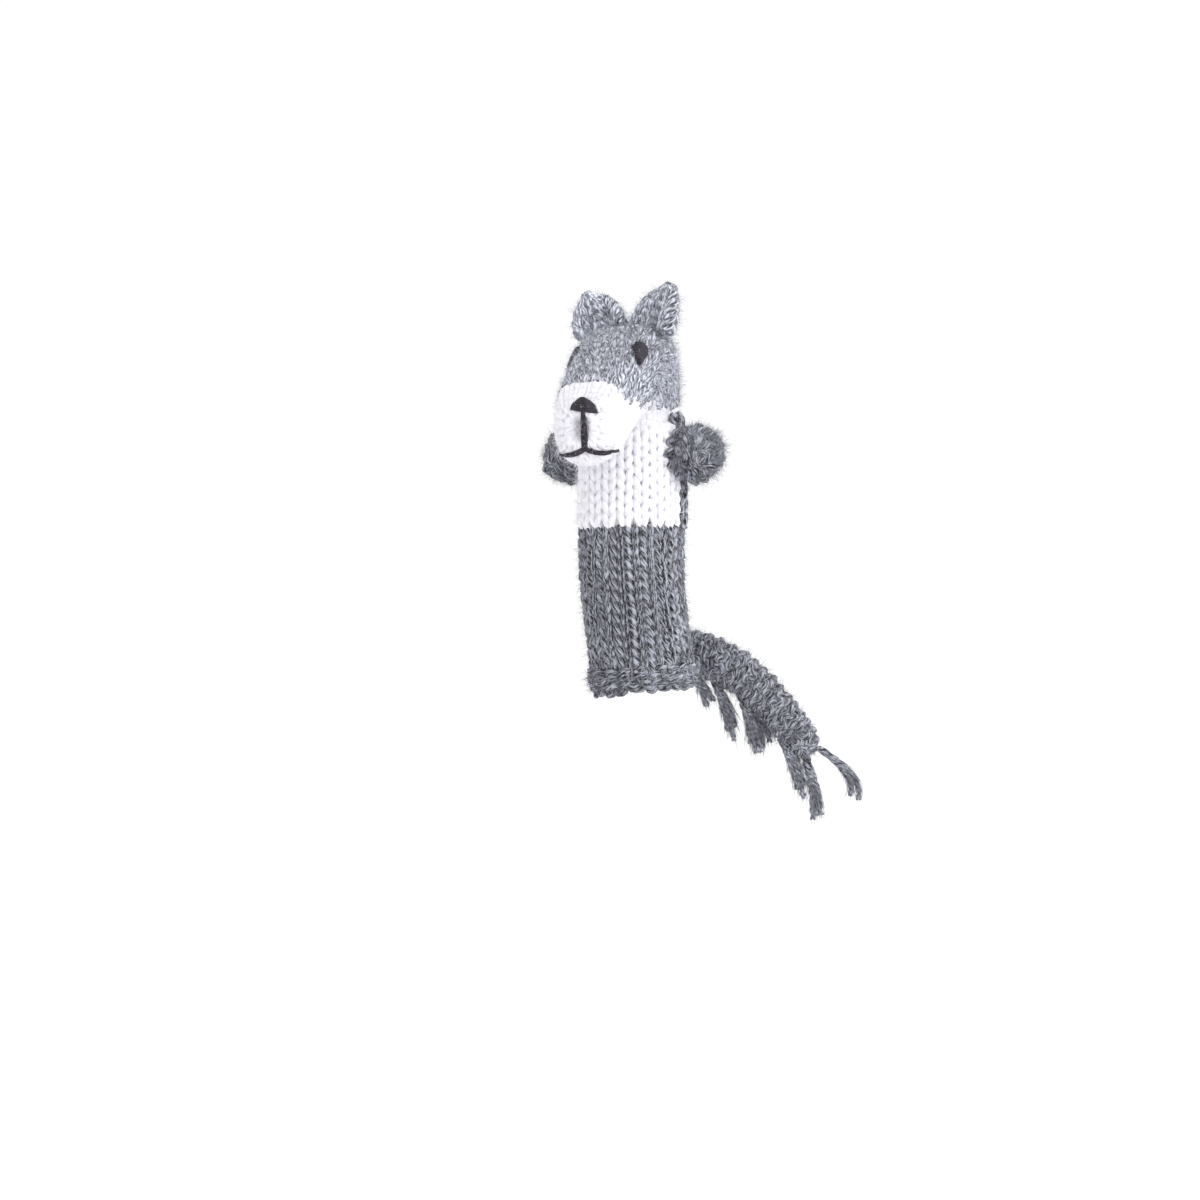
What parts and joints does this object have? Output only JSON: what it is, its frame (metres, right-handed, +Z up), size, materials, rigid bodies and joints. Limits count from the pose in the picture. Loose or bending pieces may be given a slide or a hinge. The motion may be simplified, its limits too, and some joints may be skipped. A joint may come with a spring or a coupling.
{
  "type": "finger puppet",
  "caption": "Hand-knitted wolf finger puppet: a knitted tube for a finger, stuffed head with muzzle and ears, stuffed paws and a knotted yarn tail.",
  "frame": {"origin": "centre of the finger opening, at the hem's lower edge", "axes": "+Z up along the finger, -Y the way the puppet faces, +X its left side"},
  "size_m": [0.0635, 0.0646, 0.128],
  "materials": {
    "charcoal_yarn": "hand-knitted marled charcoal yarn, fuzzy",
    "silver_yarn": "hand-knitted marled silver-grey yarn, fuzzy",
    "white_yarn": "hand-knitted white yarn, fuzzy",
    "black_thread": "satin-stitch embroidery in black wool",
    "wadding": "loose polyester wadding"
  },
  "bodies": {
    "lower_body": {"hem_band": "charcoal_yarn", "lower_tube": "charcoal_yarn", "waist_band": "charcoal_yarn"},
    "upper_body": {"chest_panel": "white_yarn", "back_panel": "charcoal_yarn", "side_seam_left": "charcoal_yarn", "side_seam_right": "charcoal_yarn", "crown_gather": "white_yarn", "arm_left_seam": "charcoal_yarn", "arm_right_seam": "charcoal_yarn"},
    "neck": {"neck_stitches": "charcoal_yarn"},
    "head": {"head_shell": "silver_yarn", "muzzle_shell": "white_yarn", "head_stuffing": "wadding", "muzzle_stuffing": "wadding", "eye_left": "black_thread", "eye_right": "black_thread", "nose": "black_thread", "philtrum": "black_thread", "lip_left": "black_thread", "lip_right": "black_thread"},
    "left_ear": {"ear_left": "silver_yarn"},
    "right_ear": {"ear_right": "silver_yarn"},
    "left_arm": {"arm_left_shell": "charcoal_yarn", "arm_left_stuffing": "wadding"},
    "right_arm": {"arm_right_shell": "charcoal_yarn", "arm_right_stuffing": "wadding"},
    "tail_root": {"tail_root_knot": "charcoal_yarn"},
    "tail_base": {"tail_base": "charcoal_yarn"},
    "tail_middle": {"tail_middle": "charcoal_yarn"},
    "tail_end": {"tail_end": "charcoal_yarn", "tail_knot": "charcoal_yarn"},
    "fringe_1": {"fringe_1": "charcoal_yarn"},
    "fringe_2": {"fringe_2": "charcoal_yarn"},
    "fringe_3": {"fringe_3": "charcoal_yarn"},
    "fringe_4": {"fringe_4": "charcoal_yarn"},
    "fringe_5": {"fringe_5": "charcoal_yarn"},
    "fringe_6": {"fringe_6": "charcoal_yarn"},
    "tassel_long": {"tassel_long": "charcoal_yarn"},
    "tassel_curl": {"tassel_curl": "charcoal_yarn"}
  },
  "joints": [
    {"name": "body_bend", "type": "hinge", "parent": "lower_body", "child": "upper_body", "pos_m": [0, 0, 0.03235], "axis": [1, 0, 0], "range_deg": [-10, 45], "stiffness_Nm_per_rad": 0.02, "deforming": ["waist_band"]},
    {"name": "head_turn", "type": "hinge", "parent": "upper_body", "child": "neck", "pos_m": [0, 0, 0.0621], "axis": [0, 0, 1], "range_deg": [-25, 25], "stiffness_Nm_per_rad": 0.01},
    {"name": "head_nod", "type": "hinge", "parent": "neck", "child": "head", "pos_m": [0, 0, 0.0635], "axis": [1, 0, 0], "range_deg": [-10, 4], "stiffness_Nm_per_rad": 0.02},
    {"name": "left_ear_fold", "type": "hinge", "parent": "head", "child": "left_ear", "pos_m": [0.0015, -0.001, 0.0879], "axis": [0.9488, -0.2091, -0.2367], "range_deg": [-20, 30], "stiffness_Nm_per_rad": 0.002},
    {"name": "right_ear_fold", "type": "hinge", "parent": "head", "child": "right_ear", "pos_m": [-0.0015, -0.001, 0.0879], "axis": [0.9488, 0.2091, 0.2367], "range_deg": [-20, 30], "stiffness_Nm_per_rad": 0.002},
    {"name": "left_arm_lift", "type": "hinge", "parent": "upper_body", "child": "left_arm", "pos_m": [0.01289, 0.00045, 0.0558], "axis": [0, -1, 0], "range_deg": [-15, 15], "stiffness_Nm_per_rad": 0.004, "deforming": ["arm_left_seam"]},
    {"name": "right_arm_lift", "type": "hinge", "parent": "upper_body", "child": "right_arm", "pos_m": [-0.01289, 0.00045, 0.0558], "axis": [0, 1, 0], "range_deg": [-15, 15], "stiffness_Nm_per_rad": 0.004, "deforming": ["arm_right_seam"]},
    {"name": "tail_swing", "type": "hinge", "parent": "lower_body", "child": "tail_root", "pos_m": [0, 0.0176, 0.01], "axis": [0, 0, 1], "range_deg": [-5, 120], "stiffness_Nm_per_rad": 0.002},
    {"name": "tail_lift", "type": "hinge", "parent": "tail_root", "child": "tail_base", "pos_m": [0, 0.0176, 0.01], "axis": [0.3404, -0.9403, 0], "range_deg": [-25, 40], "stiffness_Nm_per_rad": 0.01},
    {"name": "tail_mid_bend", "type": "hinge", "parent": "tail_base", "child": "tail_middle", "pos_m": [0.01458, 0.02288, 0.00568], "axis": [0.4728, -0.8812, 0], "range_deg": [-6, 30], "stiffness_Nm_per_rad": 0.006},
    {"name": "tail_tip_bend", "type": "hinge", "parent": "tail_middle", "child": "tail_end", "pos_m": [0.02344, 0.02751, -0.00314], "axis": [0.4646, -0.8855, 0], "range_deg": [-20, 30], "stiffness_Nm_per_rad": 0.004},
    {"name": "fringe_1_swing", "type": "hinge", "parent": "tail_base", "child": "fringe_1", "pos_m": [0.00682, 0.01931, 0.00344], "axis": [0.321, -0.9471, 0], "range_deg": [-15, 6], "stiffness_Nm_per_rad": 0.0003},
    {"name": "fringe_2_swing", "type": "hinge", "parent": "tail_base", "child": "fringe_2", "pos_m": [0.01124, 0.02109, 0.00182], "axis": [0.4388, -0.8986, 0], "range_deg": [-8, 6], "stiffness_Nm_per_rad": 0.0003},
    {"name": "fringe_3_swing", "type": "hinge", "parent": "tail_middle", "child": "fringe_3", "pos_m": [0.01716, 0.02321, -0.00213], "axis": [0.462, -0.8869, 0], "range_deg": [-6, 15], "stiffness_Nm_per_rad": 0.0003},
    {"name": "fringe_4_swing", "type": "hinge", "parent": "tail_middle", "child": "fringe_4", "pos_m": [0.01972, 0.02658, -0.0058], "axis": [0.4631, -0.8863, 0], "range_deg": [-15, 15], "stiffness_Nm_per_rad": 0.0003},
    {"name": "fringe_5_swing", "type": "hinge", "parent": "tail_end", "child": "fringe_5", "pos_m": [0.02568, 0.02732, -0.01241], "axis": [0.4528, -0.8916, 0], "range_deg": [-15, 15], "stiffness_Nm_per_rad": 0.0003},
    {"name": "fringe_6_swing", "type": "hinge", "parent": "tail_end", "child": "fringe_6", "pos_m": [0.02666, 0.03101, -0.0157], "axis": [0.5019, -0.8649, 0], "range_deg": [-15, 15], "stiffness_Nm_per_rad": 0.0003},
    {"name": "tassel_long_swing", "type": "hinge", "parent": "tail_end", "child": "tassel_long", "pos_m": [0.03017, 0.03141, -0.0169], "axis": [0.5549, -0.8319, 0], "range_deg": [-15, 15], "stiffness_Nm_per_rad": 0.0003},
    {"name": "tassel_curl_swing", "type": "hinge", "parent": "tail_end", "child": "tassel_curl", "pos_m": [0.03275, 0.03313, -0.01498], "axis": [0.5549, -0.8319, 0], "range_deg": [-15, 15], "stiffness_Nm_per_rad": 0.0003}
  ]
}
